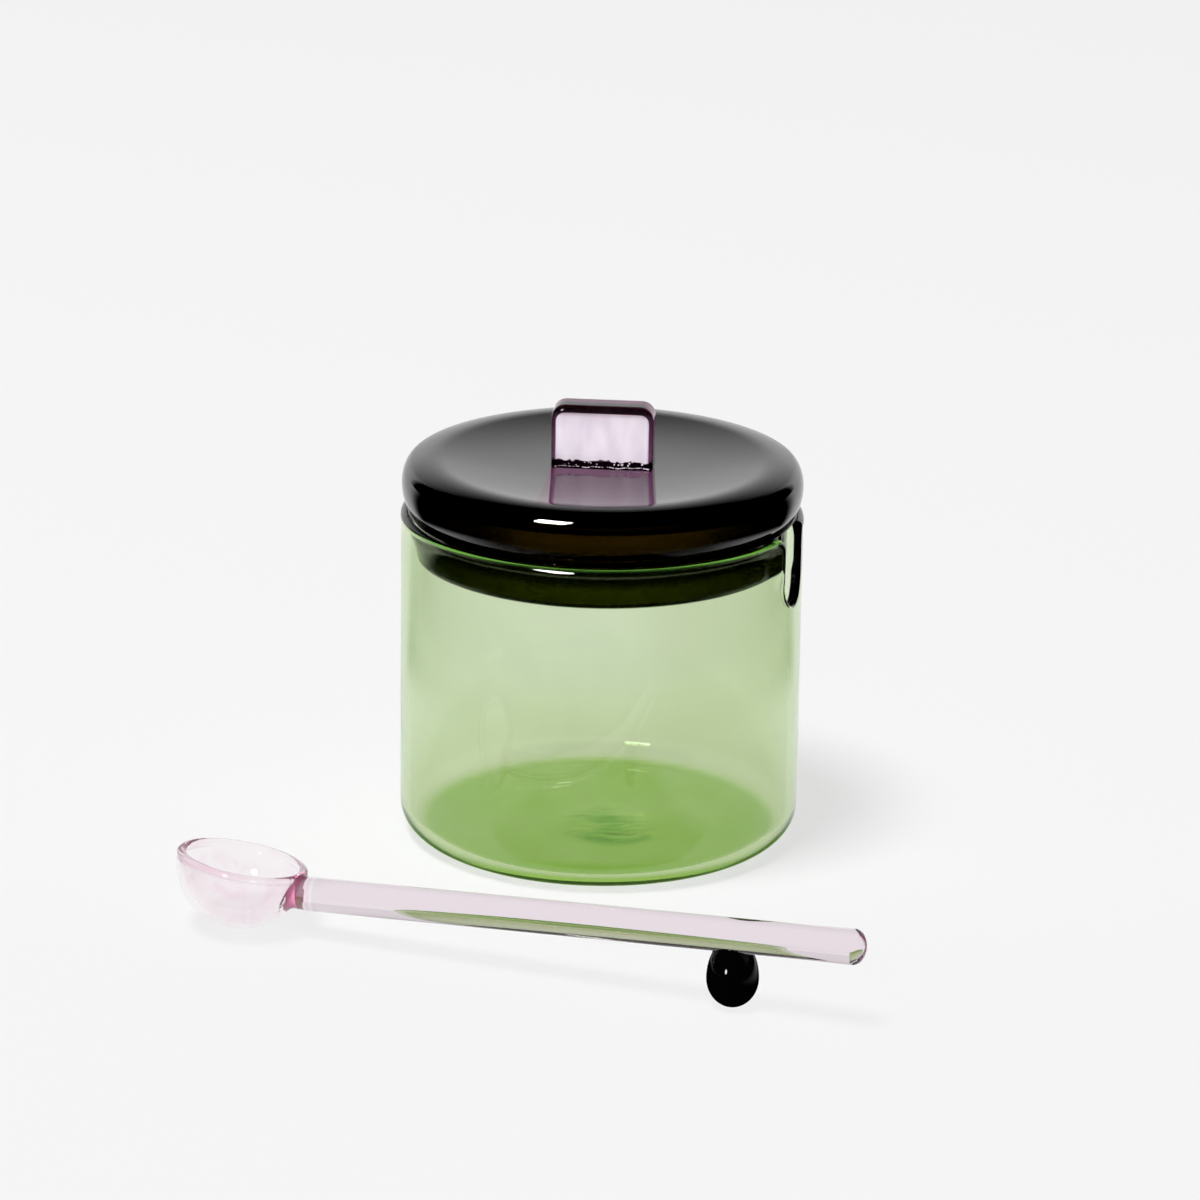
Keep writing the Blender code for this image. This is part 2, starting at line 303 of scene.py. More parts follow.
skinSet = named(slopeStep=0.01, passes=6, evenPasses=(1, 3), leastSlope=0.05, evenShare=0.5)
quadTurns = (((0, 0), (1, 0), (1, 1), (0, 1)), ((0, 0), (0, 1), (1, 1), (1, 0)))


def melt(first, second, reach):  # union with a soft fillet
    near = np.maximum(reach - np.abs(first - second), 0)
    return np.minimum(first, second) - near * near / (4 * reach)


def rounded(first, second, bend):  # where two slabs cross, with the edge rounded
    outside = np.hypot(np.maximum(first, 0), np.maximum(second, 0))
    return np.minimum(np.maximum(first, second), 0) + outside - bend


def fused(piece, ground, shape):  # a piece set on another one's skin, with a small fillet around it
    skirt = np.maximum(np.maximum(melt(piece, ground, shape.fillet), -ground), piece - shape.fillet)
    return np.minimum(skirt, np.maximum(piece, -ground - shape.sunk))


def slope(field, points):
    step = skinSet.slopeStep
    parts = [field(points + shift) - field(points - shift) for shift in np.eye(3) * step]
    return np.stack(parts, -1) / (2 * step)


def evenOut(points, quads):  # each point goes part of the way to the middle of its neighbours
    total, share = np.zeros_like(points), np.zeros(len(points))
    for first, second in ((0, 1), (1, 2), (2, 3), (3, 0)):
        for one, other in ((first, second), (second, first)):
            np.add.at(total, quads[:, one], points[quads[:, other]])
            np.add.at(share, quads[:, one], 1)
    return (1 - skinSet.evenShare) * points + skinSet.evenShare * total / share[:, None]


def skinOf(field, low, high, step):
    low = np.array(low, float)
    counts = np.ceil((np.array(high) - low) / step).astype(int) + 1
    grid = np.stack(np.meshgrid(*[low[k] + step * np.arange(counts[k]) for k in range(3)], indexing="ij"), -1)
    inside = field(grid) < 0
    full = sum(inside[a:counts[0] - 1 + a, b:counts[1] - 1 + b, c:counts[2] - 1 + c].astype(int)
               for a in (0, 1) for b in (0, 1) for c in (0, 1))
    mixed = (full > 0) & (full < 8)
    number = np.full(mixed.shape, -1)
    number[mixed] = np.arange(mixed.sum())
    points = low + step * (np.argwhere(mixed) + 0.5)
    quads = []
    for axis in range(3):
        order = (axis, (axis + 1) % 3, (axis + 2) % 3)
        side = inside.transpose(order)
        cells = number.transpose(order)
        near, far = side[:-1, 1:-1, 1:-1], side[1:, 1:-1, 1:-1]
        for found, corners in zip((near & ~far, ~near & far), quadTurns):
            i, j, k = np.nonzero(found)
            quads.append(np.stack([cells[i, j + a, k + b] for a, b in corners], -1))
    quads = np.concatenate(quads)
    for turn in range(skinSet.passes):  # on to the true surface, with the points spread evenly on it
        away = slope(field, points)
        steep = np.maximum((away * away).sum(-1), skinSet.leastSlope)
        points = points - away * (field(points) / steep)[:, None]
        if turn in skinSet.evenPasses:
            points = evenOut(points, quads)
    away = slope(field, points)
    return points, quads, away / np.linalg.norm(away, axis=-1, keepdims=True)


def skinPiece(name, skin, matrix, glass):  # matrix goes from the field's millimetres to the scene's metres
    points, quads, away = skin
    turn = np.array(matrix.to_3x3())
    mesh = newMesh(name, (points @ turn.T + np.array(matrix.translation)).tolist(), [], quads.tolist())
    mesh.shade_smooth()
    normals = away @ turn.T
    normals = normals / np.linalg.norm(normals, axis=-1, keepdims=True)
    mesh.normals_split_custom_set_from_vertices(normals.tolist())
    mesh.materials.append(glass)
    return placeMesh(name, mesh)


# jar: turned base and wall, and an upper band of wall with the notch melted into its edge

jarShape = named(
    wall=2.2, rimSwell=0.12, rimOver=0.35, swellReach=2.4, moltenReach=3.5,
    floor=2.4, heel=7.0, innerHeel=4.8, pushedUp=0.25,
    bandStart=44.0, bandRow=2.0, bandClear=3.0, edgeClear=3.1,
    edgeRows=(0.01, 0.04, 0.1, 0.2, 0.36, 0.64, 1.0, 1.4, 1.9, 2.5), columnGap=0.4,
    notchBearing=-17.25, notchWidth=11.6, notchBottom=57.65, notchFlare=3.0, notchFlareRight=1.2,
    notchRound=0.35, notchThin=0.5, thinRise=3, thinReach=3,
)
jarGather = named(  # the hump in the middle of the floor, the crease before it and the wrinkles on it
    reach=30, middle=(1, -5), hump=0.35, humpReach=(13, 12), humpEdge=0.85,
    trough=-0.05, troughWidth=1.1, troughTurn=-70, creasePlace=(3.5, -0.5), creaseAt=9.5,
    wrinkles=((0.035, (-2.5, 1.5), 7), (0.025, (3, -1), 6)),  # depth, place and reach of each
)
jarFinish = named(soakPerMm=(0.073, 0.041, 0.12), waveDepth=0.03, handWork=(70.0, 520.0, 0.25, 0.02))
jarTintAndShade = named(  # deeper colour in the base and its swirl, painted shade towards the right and along the crease, darker towards the bottom and deeper green at the top of the rim; lengths are from, to
    colour=(0.395, 0.635, 0.1), middle=(0, -1.2, 0), reach=(42.0, 38.2), top=(8.0, 4.5),
    cloudScale=45.0, cloudEnds=(0.3, 0.7), cloudDepth=(0.78, 0.98), front=(-8.0, -36.0),
    # low: darker towards the bottom; right: painted shade towards the right side, away from the light
    low=(0.84, 0.87, 0.74), lowAt=(28.0, 6.0), right=(0.955, 0.96, 0.93), rightAt=(4.0, 20.0),
    deep=(0.14, 0.44, 0.01), strokeShare=(0.4, 1.0, 0.0), strokeScale=230.0, strokeTurn=0.5,
    strokeEnds=(0.44, 0.62), swirlDepth=0.9, swirlPlace=(1.0, -6.0, 0.0), swirlShare=(1.3, 0.8, 0.0),
    # the fold values lay painted shade along the crease before the hump, in front
    swirlReach=(12.0, 5.0), foldPlace=(4.0, -5.0, 0.0), foldShare=(1.1, 0.9, 0.0), foldAt=10.5,
    foldWidth=(1.8, 0.3), foldFront=(-11, -14), foldDepth=0.8, fired=(0.1, 0.4, 0.025), rim=(74.0, 74.7),
)


def tintAndShadeJar(tree):
    place, axes = objectPlace(tree)
    disc = fade(spanOf(place, jarTintAndShade.middle, (1, 1, 0)), jarTintAndShade.reach)
    base = times(disc, fade(axes["Z"], jarTintAndShade.top))
    cloud = spread(noise(place, jarTintAndShade.cloudScale, 2.0), jarTintAndShade.cloudEnds, jarTintAndShade.cloudDepth)
    cloud = largest(cloud, fade(axes["Y"], jarTintAndShade.front))
    # painted shade: the wall is darker towards its right side, away from the light
    deepen(fade(axes["X"], jarTintAndShade.rightAt), jarTintAndShade.right)
    # darker towards the bottom
    deepen(fade(axes["Z"], jarTintAndShade.lowAt), jarTintAndShade.low)
    deepen(times(base, cloud), jarTintAndShade.colour)
    drawn = addOut(tree, "ShaderNodeMapping", {"Vector": place, "Scale": jarTintAndShade.strokeShare})
    stroke = noise(drawn, jarTintAndShade.strokeScale, 5.0, jarTintAndShade.strokeTurn)
    stroke = spread(stroke, jarTintAndShade.strokeEnds, (0.0, jarTintAndShade.swirlDepth))
    near = fade(spanOf(place, jarTintAndShade.swirlPlace, jarTintAndShade.swirlShare), jarTintAndShade.swirlReach)
    # painted shade: darker along the crease before the hump, in front; the swirl's strokes get the same
    # deeper green as colour
    ring = spanOf(place, jarTintAndShade.foldPlace, jarTintAndShade.foldShare)
    ring = addMath("ABSOLUTE", addMath("SUBTRACT", ring, jarTintAndShade.foldAt * mm))
    creaseShade = times(fade(ring, jarTintAndShade.foldWidth), fade(axes["Y"], jarTintAndShade.foldFront), jarTintAndShade.foldDepth)
    deepen(times(largest(times(stroke, near), creaseShade), base), jarTintAndShade.deep)
    # deeper green at the top of the rim
    deepen(fade(axes["Z"], jarTintAndShade.rim), jarTintAndShade.fired)


jarGreen = makeGlass("jarGreenGlass", jarFinish)
tintAndShadeJar(jarGreen.node_tree)
jarLow, jarHigh = nodeBox("jar")
jarTop = jarHigh[2]
rimBulge = jarShape.wall / 2 + jarShape.rimSwell
jarRadius = (jarHigh[0] - jarLow[0]) / 2 - jarShape.rimOver
wallMiddle = jarRadius - jarShape.wall / 2


def jarOutlines():
    heel, innerHeel, floor, top = jarShape.heel, jarShape.innerHeel, jarShape.floor, jarShape.bandStart
    inner = jarRadius - jarShape.wall
    floorReach, footReach = inner - innerHeel, jarRadius - heel
    inside = [(radius, floor) for radius in np.linspace(0, floorReach, 110)[:-1]]
    inside += arc((floorReach, floor + innerHeel), innerHeel, -90, 0, 14)
    inside += [(inner, height) for height in np.linspace(floor + innerHeel, top, 19)[1:]]
    outside = [(radius, jarShape.pushedUp * (1 - (radius / footReach) ** 2))
               for radius in np.linspace(0, footReach, 60)[:-1]]
    outside += arc((footReach, heel), heel, -90, 0, 20)
    outside += [(jarRadius, height) for height in np.linspace(heel, top, 20)[1:]]
    return inside, outside


def notchPath():  # rim and notch edge on the unrolled wall, from seam to seam
    half, flare, bottom = jarShape.notchWidth / 2, jarShape.notchFlare, jarShape.notchBottom
    tight, gap = jarShape.notchFlareRight, jarShape.columnGap
    count = turnSet.segments
    columns = wallMiddle * math.tau * (np.arange(count + 1) / count - 0.5)
    start = half + flare
    path = [(across, jarTop) for across in columns if across < -start - gap]
    path += arc((-start, jarTop - flare), flare, 90, 0, 14)
    path += [(-half, height) for height in np.linspace(jarTop - flare, bottom + half, 9)[1:-1]]
    path += arc((0, bottom + half), half, 180, 360, 36)
    path += [(half, height) for height in np.linspace(bottom + half, jarTop - tight, 9)[1:-1]]
    path += arc((half + tight, jarTop - tight), tight, 180, 90, 14)
    path += [(across, jarTop) for across in columns if across > half + tight + gap]
    return np.array(path), columns


def edgeDistance(points, path):  # distance to the edge, and the height of the nearest spot on it
    best, height = np.full(len(points), 1e9), np.zeros(len(points))
    for start, end in zip(path[:-1], path[1:]):
        along = end - start
        share = np.clip(((points - start) @ along) / (along @ along), 0, 1)
        spot = start + share[:, None] * along
        gap = np.linalg.norm(points - spot, axis=1)
        height = np.where(gap < best, spot[:, 1], height)
        best = np.minimum(best, gap)
    return best, height


def halfWall(distance, height):  # half its thickness, and its middle: the rim is molten, the notch cut
    molten = np.clip((height - jarTop) / jarShape.moltenReach + 1, 0, 1)
    swell = jarShape.rimSwell * molten
    bend = jarShape.notchRound + (rimBulge - jarShape.notchRound) * molten
    ease = np.clip((distance - bend) / (jarShape.swellReach - bend), 0, 1)
    full = jarShape.wall / 2 + swell * (0.5 + 0.5 * np.cos(math.pi * ease))
    near = np.clip(1 - distance / bend, 0, 1)
    straight = np.clip((height - jarShape.notchBottom - jarShape.notchWidth / 2) / jarShape.thinRise, 0, 1)
    thin = jarShape.notchThin * straight * (1 - molten)  # ground away inside, by the notch
    thin = thin * np.exp(-(distance / jarShape.thinReach) ** 2)
    return (full - thin / 2) * np.sqrt(1 - near ** 2), wallMiddle + thin / 2


def makeJarBand():
    path, columns = notchPath()
    start, rows = jarShape.bandStart, jarShape.edgeRows
    along = np.gradient(path, axis=0)
    along /= np.linalg.norm(along, axis=1, keepdims=True)
    inward = np.stack([along[:, 1], -along[:, 0]], 1)
    heights = np.arange(start, jarTop - jarShape.bandClear, jarShape.bandRow)
    left, right = columns[0], columns[-1]
    sideHeights = [jarTop - depth for depth in rows] + list(heights[:0:-1])
    border = list(map(tuple, path))
    border += [(right, height) for height in sideHeights]
    border += [(across, start) for across in columns[::-1]]
    border += [(left, height) for height in sideHeights[::-1]]
    inside = [tuple(spot) for depth in rows for spot in (path + depth * inward)[1:-1]]
    plain = np.array([(across, height) for across in columns[1:-1] for height in heights[1:]])
    inside += list(map(tuple, plain[edgeDistance(plain, path)[0] > jarShape.edgeClear]))
    points = [Vector(point) for point in border + inside]
    flat, _, faces, _, _, _ = delaunay_2d_cdt(points, [], [list(range(len(border)))], 1, 0.0001)
    flat = np.array(flat)
    half, middle = halfWall(*edgeDistance(flat, path))
    turn = math.radians(jarShape.notchBearing) + flat[:, 0] / wallMiddle
    skins = [np.stack([radius * np.cos(turn), radius * np.sin(turn), flat[:, 1]], 1)
             for radius in (middle + half, middle - half)]
    faces = [list(face) for face in faces]
    faces += [[index + len(flat) for index in face[::-1]] for face in faces]
    return newMesh("jarBand", (np.concatenate(skins) * mm).tolist(), [], faces)


def shapeJarFloor(mesh):
    points = np.empty(len(mesh.vertices) * 3)
    mesh.vertices.foreach_get("co", points)
    points = points.reshape(-1, 3) / mm
    radius = np.hypot(points[:, 0], points[:, 1])
    onFloor = (points[:, 2] < jarShape.floor + 1) & (radius < jarGather.reach)
    x, y = points[:, 0] - jarGather.middle[0], points[:, 1] - jarGather.middle[1]
    span = np.hypot(x / jarGather.humpReach[0], y / jarGather.humpReach[1])
    lift = jarGather.hump * np.exp(-(span / jarGather.humpEdge) ** 4)
    turn = np.arctan2(y, x)
    crease = np.hypot(x - jarGather.creasePlace[0], (y - jarGather.creasePlace[1]) * 1.05)
    crease = crease - jarGather.creaseAt - 1.0 * np.sin(2 * turn + 0.5) - 0.4 * np.sin(5 * turn)
    facing = np.clip(np.cos(turn - math.radians(jarGather.troughTurn)), 0, 1) ** 2
    lift += jarGather.trough * np.exp(-(crease / jarGather.troughWidth) ** 2) * facing
    ripples = (1.2 * y + 0.35 * x + 1.9 * np.sin(0.45 * x + 0.8) + 1.3 * np.sin(0.8 * y - 0.5 * x + 1),
               2.3 * y - 0.7 * x + 2 * np.sin(0.6 * x))
    for ripple, (depth, place, reach) in zip(ripples, jarGather.wrinkles):
        lift += depth * np.sin(ripple) * np.exp(-(np.hypot(x - place[0], y - place[1]) / reach) ** 2)
    points[:, 2] += np.where(onFloor, lift, 0)
    mesh.vertices.foreach_set("co", (points * mm).ravel())


def makeJar():
    inside, outside = jarOutlines()
    jar = turnOutline("jarGlass", outside, jarGreen)
    bowl = turnOutline("jarInside", inside, jarGreen)
    for piece in (jar, bowl):
        piece.data.transform(turned(jarShape.notchBearing))
    shapeJarFloor(bowl.data)
    closeMesh(jar.data, jarGreen, (bowl.data, makeJarBand()))
    bpy.data.objects.remove(bowl)
    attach(jar, "jar")
    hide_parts("jar")
    print("jar:", len(jar.data.polygons), "faces")


makeJar()


# lid: one turned shell of very dark glass

lidShape = named(
    middle=85.6, dishRise=1.56, dishPower=3, browWidth=7.0, browSlope=18.4, edgeCrest=86.6,
    edgeTop=2.9, edgeRise=5.1, edgeDrop=5.0, edgeUnder=2.0, groove=0.6, shoulder=0.6,
    wall=2.6, collar=41.5, collarFillet=0.4, seat=75.3, nose=43.3,
)
lidFinish = named(
    soakPerMm=(1.54, 1.45, 2.9), waveDepth=0.012, bend=1.6, handWork=(55.0, 300.0, 0.05, 0.015))
lidTintAndShade = named(  # a browner edge than the collar, darker above the collar's lowest band, painted shade at the edge's ends and low in front, and a painted reflection of the handle's lilac on the dish before it
    deep=(0.2, 0.25, 0.2), deepAt=(69.2, 71.6), edge=(1.0, 0.42, 1.0), edgeAt=(75.4, 76.4),
    glowPlace=(2.0, 0, 0), glowEnds=(14.0, 30.0), glowOut=(0.12, 0.05, 0.1),
    # the film values lay a painted reflection of the handle on the dish before it
    film=(1.0, 0.08, 0.62), filmTurn=-5.0, filmMiddle=-20.0, filmSides=(11.5, 11.2), filmEnds=(16.9, 16.4),
    # the dull values black out the edge's reflection low in front, a painted shade
    filmAbove=(82, 83), dullBelow=(82.8, 81.8), dullPlace=(0, -50, 0), dullReach=(38.0, 24.0),
)


def tintAndShadeLid(tree):
    place, axes = objectPlace(tree)
    height = axes["Z"]
    # darker above the collar's lowest band
    deepen(fade(height, lidTintAndShade.deepAt), lidTintAndShade.deep)
    edge = fade(height, lidTintAndShade.edgeAt)
    deepen(edge, lidTintAndShade.edge)
    # painted shade: the brown edge is darkened towards its left and right ends, so its glow shows only in the
    # middle
    ends = fade(spanOf(place, lidTintAndShade.glowPlace, (1, 0, 0)), lidTintAndShade.glowEnds)
    deepen(times(ends, edge), lidTintAndShade.glowOut)
    # painted reflection: a lilac specular tint on the dish before the handle stands for the handle's
    # reflection
    turn, middle = math.radians(lidTintAndShade.filmTurn), lidTintAndShade.filmMiddle
    across = spanOf(place, (0, 0, 0), (1, 0, 0), (0, 0, turn))
    along = spanOf(place, (-middle * math.sin(turn), middle * math.cos(turn), 0), (0, 1, 0), (0, 0, turn))
    film = times(fade(across, lidTintAndShade.filmSides), fade(along, lidTintAndShade.filmEnds))
    film = times(film, fade(height, lidTintAndShade.filmAbove))
    tint = mixColour(film, (1, 1, 1), lidTintAndShade.film)
    low = fade(height, lidTintAndShade.dullBelow)  # painted shade: the edge's reflection is blacked out below, in front
    front = fade(spanOf(place, lidTintAndShade.dullPlace, (1, 1, 0)), lidTintAndShade.dullReach)
    tint = mixColour(times(low, front), tint, (0, 0, 0))
    setInputs(tree.nodes["Principled BSDF"], {"Specular Tint": tint})


lidDark = makeGlass("lidDarkGlass", lidFinish)
tintAndShadeLid(lidDark.node_tree)
lidLow, lidHigh = nodeBox("lid_shell")
lidRadius = (lidHigh[0] - lidLow[0]) / 2
browSlope = math.radians(lidShape.browSlope)
edgeStart = math.atan2(lidShape.edgeRise, lidShape.edgeTop * math.tan(browSlope))
dishReach = lidRadius - lidShape.edgeTop * (1 - math.cos(edgeStart)) - lidShape.browWidth


def dishHeight(radius):
    return lidShape.middle + lidShape.dishRise * (radius / dishReach) ** lidShape.dishPower


def lidOutline():
    top, rise, drop, under = lidShape.edgeTop, lidShape.edgeRise, lidShape.edgeDrop, lidShape.edgeUnder
    groove, shoulder, wall, seat = lidShape.groove, lidShape.shoulder, lidShape.wall, lidShape.seat
    widest = lidShape.edgeCrest - rise
    lean = math.atan(lidShape.dishPower * lidShape.dishRise / dishReach)  # slope where the dish ends
    bend = lidShape.browWidth / (math.sin(lean) + math.sin(browSlope))
    middle = (dishReach + bend * math.sin(lean), dishHeight(dishReach) - bend * math.cos(lean))
    dish = [(radius, dishHeight(radius)) for radius in np.linspace(0, dishReach, 60)[:-1]]
    brow = arc(middle, bend, 90 + math.degrees(lean), 90 - lidShape.browSlope, 20)
    edge = np.array(arc((lidRadius - top, widest), (top, rise), math.degrees(edgeStart), 0, 24))
    step = np.array(brow[-1]) - edge[0]
    edge += step * (np.linspace(1, 0, len(edge)) ** 2)[:, None]  # the edge takes up what the brow leaves over
    edge = brow + list(map(tuple, edge[1:]))
    below = arc((lidRadius - under, widest), (under, drop), 0, -90, 20)
    gutter = arc((lidRadius - under, seat + shoulder + groove / 2), groove / 2, 90, 270, 14)
    nose = arc((lidShape.nose, seat + shoulder / 2), shoulder / 2, 90, -90, 12)
    collar, bottom, fill = lidShape.collar, lidLow[2], lidShape.collarFillet
    fillet = arc((collar + fill, seat - fill), fill, 90, 180, 5)
    side = [(collar, height) for height in np.linspace(seat - fill, bottom + wall / 2, 12)[1:-1]]
    lip = arc((collar - wall / 2, bottom + wall / 2), wall / 2, 0, -180, 14)
    back = [(collar - wall, height) for height in np.linspace(bottom + wall / 2, widest - drop, 10)[1:-1]]
    hollow = arc((collar - wall, widest), (lidRadius - collar, drop), -90, 0, 10)
    crown = rise - wall
    ceiling = arc((lidRadius - wall - crown, widest), crown, 0, 90, 8)
    last = [(radius, dishHeight(0) - wall) for radius in np.linspace(lidRadius - wall - crown, 0, 12)[1:]]
    shell = dish + edge + below[1:] + gutter[1:] + nose + fillet + side + lip + back + hollow
    return shell + ceiling[1:] + last


def makeLid():
    lid = turnOutline("lidGlass", lidOutline(), lidDark)
    closeMesh(lid.data, lidDark)
    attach(lid, "lid")
    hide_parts("lid_shell")
    print("lid:", len(lid.data.polygons), "faces")


makeLid()


# handle: a pressed block of lilac glass, fused on the dish, with a pale sheet, a torn dark foot and white
# balls for painted glints inside

handleShape = named(
    width=22.8, thickness=8.0, cornerRound=3.0, edgeRound=1.7, turn=-5.0,
    sunk=0.15, fillet=0.6, footDeep=6, step=0.35, room=2, roomBelow=1.5, roomAbove=1,
)
handleFinish = named(soakPerMm=(0.006, 0.064, 0.02), waveDepth=0.02, handWork=(90.0, 200.0, 0.0, 0.02))
handleShade = named(  # painted shade: the sides and the top are darkened, as they look deep where light runs along them
    side=(0.36, 0.13, 0.32), sideAt=(9.9, 10.9), top=(0.37, 0.31, 0.32), belowTop=(2.6, 1.2),
)
paleLayer = named(  # a pale sheet just behind the front face, which makes the face pale, with painted diagonal shading across it
    inset=0.7, thickness=0.5, sides=1.15, top=1.75, bottom=1.75, corner=1.9, ragged=0.35, teeth=34,
    pale=(0.91, 0.965, 0.945), shade=(0.76, 0.78, 0.8), cloudTurn=40, cloudShare=(1, 1, 0.3),
    cloudScale=150.0, cloudEnds=(0.42, 0.62), rough=0.6, seed=7,
)
footPad = named(  # where the block is fused to the dish it is as dark as the dish
    colour=(0.004, 0.002, 0.004), top=0.35, under=-0.1, edge=0.5, cells=(24, 8),
    tearScale=520.0, tear=0.3, colourTop=0.75, colourSoft=0.1,
)
# painted glints: white balls along the foot stand for its sparkles, and the second, thinner row of them for a
# bright wavy line
footGlints = named(
    count=26, size=(0.07, 0.24), spread=0.75, short=2.0, inset=0.45, height=1.45, wavy=0.0, steps=12,
)
footGlintLine = named(
    count=170, size=(0.05, 0.11), spread=0.05, short=0.8, inset=0.12, height=0.42, wavy=0.16, steps=60,
)
glintFinish = named(body=(0.95, 0.88, 0.94), clear=0.0, waveDepth=0.01, handWork=(300.0, 300.0, 0.1, 0.1))
handleTop = nodeBox("lid_handle")[1][2]


def shadeHandle(tree):
    place, axes = objectPlace(tree)
    across = spanOf(place, (0, 0, 0), (1, 0, 0), (0, 0, math.radians(handleShape.turn)))
    top = [handleTop - depth for depth in handleShade.belowTop]
    deepen(fade(axes["Z"], top), handleShade.top)
    deepen(fade(across, handleShade.sideAt), handleShade.side)


def makePaleLayer(name):
    material, tree = newMaterial(name)
    place, axes = objectPlace(tree)
    turn = (0, math.radians(paleLayer.cloudTurn), 0)
    slant = {"Vector": place, "Rotation": turn, "Scale": paleLayer.cloudShare}
    slant = addOut(tree, "ShaderNodeMapping", slant)
    cloud = spread(noise(slant, paleLayer.cloudScale, 2.0), paleLayer.cloudEnds)
    # painted shading: slanted noise mixes the pale and shade colours in diagonal streaks across the face
    colour = mixColour(cloud, paleLayer.pale, paleLayer.shade)
    tear = noise(place, footPad.tearScale, 3.0)
    height = addMath("MULTIPLY_ADD", tear, footPad.tear * mm, axes["Z"])
    top, soft = lidShape.middle + footPad.colourTop, footPad.colourSoft
    colour = mixColour(fade(height, (top + soft, top - soft)), colour, footPad.colour)
    finish = {"Base Color": colour, "Roughness": paleLayer.rough, "Specular IOR Level": 0.0}
    setInputs(tree.nodes["Principled BSDF"], finish)
    return material


handleLilac = makeGlass("handleLilacGlass", handleFinish)
shadeHandle(handleLilac.node_tree)
paleLayerMaterial = makePaleLayer("handlePaleLayerMaterial")
glintWhite = makeGlass("handleGlintBalls", glintFinish)


def handleField(points):
    foot = dishHeight(0) - handleShape.footDeep
    corner, edge = handleShape.cornerRound, handleShape.edgeRound
    sideways = np.abs(points[..., 0]) - handleShape.width / 2 + corner
    upright = np.abs(points[..., 2] - (handleTop + foot) / 2) - (handleTop - foot) / 2 + corner
    face = rounded(sideways, upright, corner) + edge
    block = rounded(face, np.abs(points[..., 1]) - handleShape.thickness / 2 + edge, edge)
    dish = points[..., 2] - dishHeight(np.hypot(points[..., 0], points[..., 1]))
    return fused(block, dish, handleShape)


def makeSheet():
    half = handleShape.width / 2 - paleLayer.sides
    low, high = lidShape.middle + paleLayer.bottom, handleTop - paleLayer.top
    corner = paleLayer.corner
    outline = arc((half - corner, high - corner), corner, 0, 90, 8)
    outline += arc((corner - half, high - corner), corner, 90, 180, 8)
    torn = np.random.default_rng(paleLayer.seed).uniform(-1, 1, paleLayer.teeth) * paleLayer.ragged
    outline += [(across, low + tear) for across, tear in zip(np.linspace(-half, half, paleLayer.teeth), torn)]
    front = -handleShape.thickness / 2 + paleLayer.inset
    count = len(outline)
    depths = (front, front + paleLayer.thickness)
    points = [(across, depth, height) for depth in depths for across, height in outline]
    faces = [list(range(count)), list(range(2 * count - 1, count - 1, -1))]
    faces += [(step, (step + 1) % count, (step + 1) % count + count, step + count) for step in range(count)]
    return newMesh("handlePaleLayer", points, [], faces)


def makePad():  # the fused foot, a thin dark layer that follows the dish
    half, deep = handleShape.width / 2 - footPad.edge, handleShape.thickness / 2 - footPad.edge
    columns, rows = footPad.cells
    wide, last = columns + 1, rows * (columns + 1)
    flat = [(x, y) for y in np.linspace(-deep, deep, rows + 1) for x in np.linspace(-half, half, wide)]
    lifts = (footPad.under, footPad.top)
    points = [(x, y, dishHeight(math.hypot(x, y)) + lift) for lift in lifts for x, y in flat]
    starts = [row + column for row in range(0, last, wide) for column in range(columns)]
    low = [(start, start + wide, start + wide + 1, start + 1) for start in starts]
    high = [[index + len(flat) for index in cell[::-1]] for cell in low]
    rim = [*range(wide), *range(wide + columns, last + wide, wide)]
    rim += [*range(last + columns - 1, last - 1, -1), *range(last - wide, 0, -wide)]
    sides = [(a, b, b + len(flat), a + len(flat)) for a, b in zip(rim, rim[1:] + rim[:1])]
    return newMesh("handlePad", points, [], low + high + sides)


def makeBallTree():  # balls of glass at random places along a line
    tree, given = newTree("ballRow", {
        "Line": "Geometry", "Count": "Int", "Smallest": "Float", "Largest": "Float", "Spread": "Float",
        "Seed": "Int", "Glass": "Material"})

    def chance(ends, kind="FLOAT"):
        ends["Seed"] = given["Seed"]
        return addNode(tree, "FunctionNodeRandomValue", ends, data_type=kind).outputs

    row = addOut(tree, "GeometryNodeMeshLine", {"Count": given["Count"]})
    share = chance({})[1]
    lift = chance({0: (0, -0.06, -1), 1: (0, 0.06, 1)}, "FLOAT_VECTOR")[0]
    lift = addOut(tree, "ShaderNodeVectorMath", {0: lift, "Scale": given["Spread"]}, operation="SCALE")
    size = chance({2: given["Smallest"], 3: given["Largest"]})[1]
    path = addOut(tree, "GeometryNodeMeshToCurve", {0: given["Line"]})
    spot = addNode(tree, "GeometryNodeSampleCurve", {"Curves": path, "Factor": share}, mode="FACTOR")
    row = {"Geometry": row, "Position": spot.outputs["Position"], "Offset": lift}
    row = addOut(tree, "GeometryNodeSetPosition", row)
    ball = addOut(tree, "GeometryNodeMeshIcoSphere", {"Radius": 1.0, "Subdivisions": 3})
    row = addOut(tree, "GeometryNodeInstanceOnPoints", {"Points": row, "Instance": ball, "Scale": size})
    return endTree(tree, row, given["Glass"])


ballTree = makeBallTree()


def makeGlintBalls(row):
    half, deep = handleShape.width / 2 - row.short, -handleShape.thickness / 2 + row.inset
    spots = []
    for across in np.linspace(-half, half, row.steps):
        wave = row.wavy * math.sin(1.3 * across) * math.sin(0.47 * across)
        spots.append((across, deep, dishHeight(across) + row.height + wave))
    edges = [(step, step + 1) for step in range(len(spots) - 1)]
    line = placeMesh("glintBallLine", newMesh("glintBallLine", spots, edges, []))
    glintBalls = runTree(line, ballTree, {
        "Count": row.count, "Smallest": row.size[0], "Largest": row.size[1], "Spread": row.spread,
        "Seed": paleLayer.seed, "Glass": glintWhite})
    bpy.data.objects.remove(line)
    return glintBalls


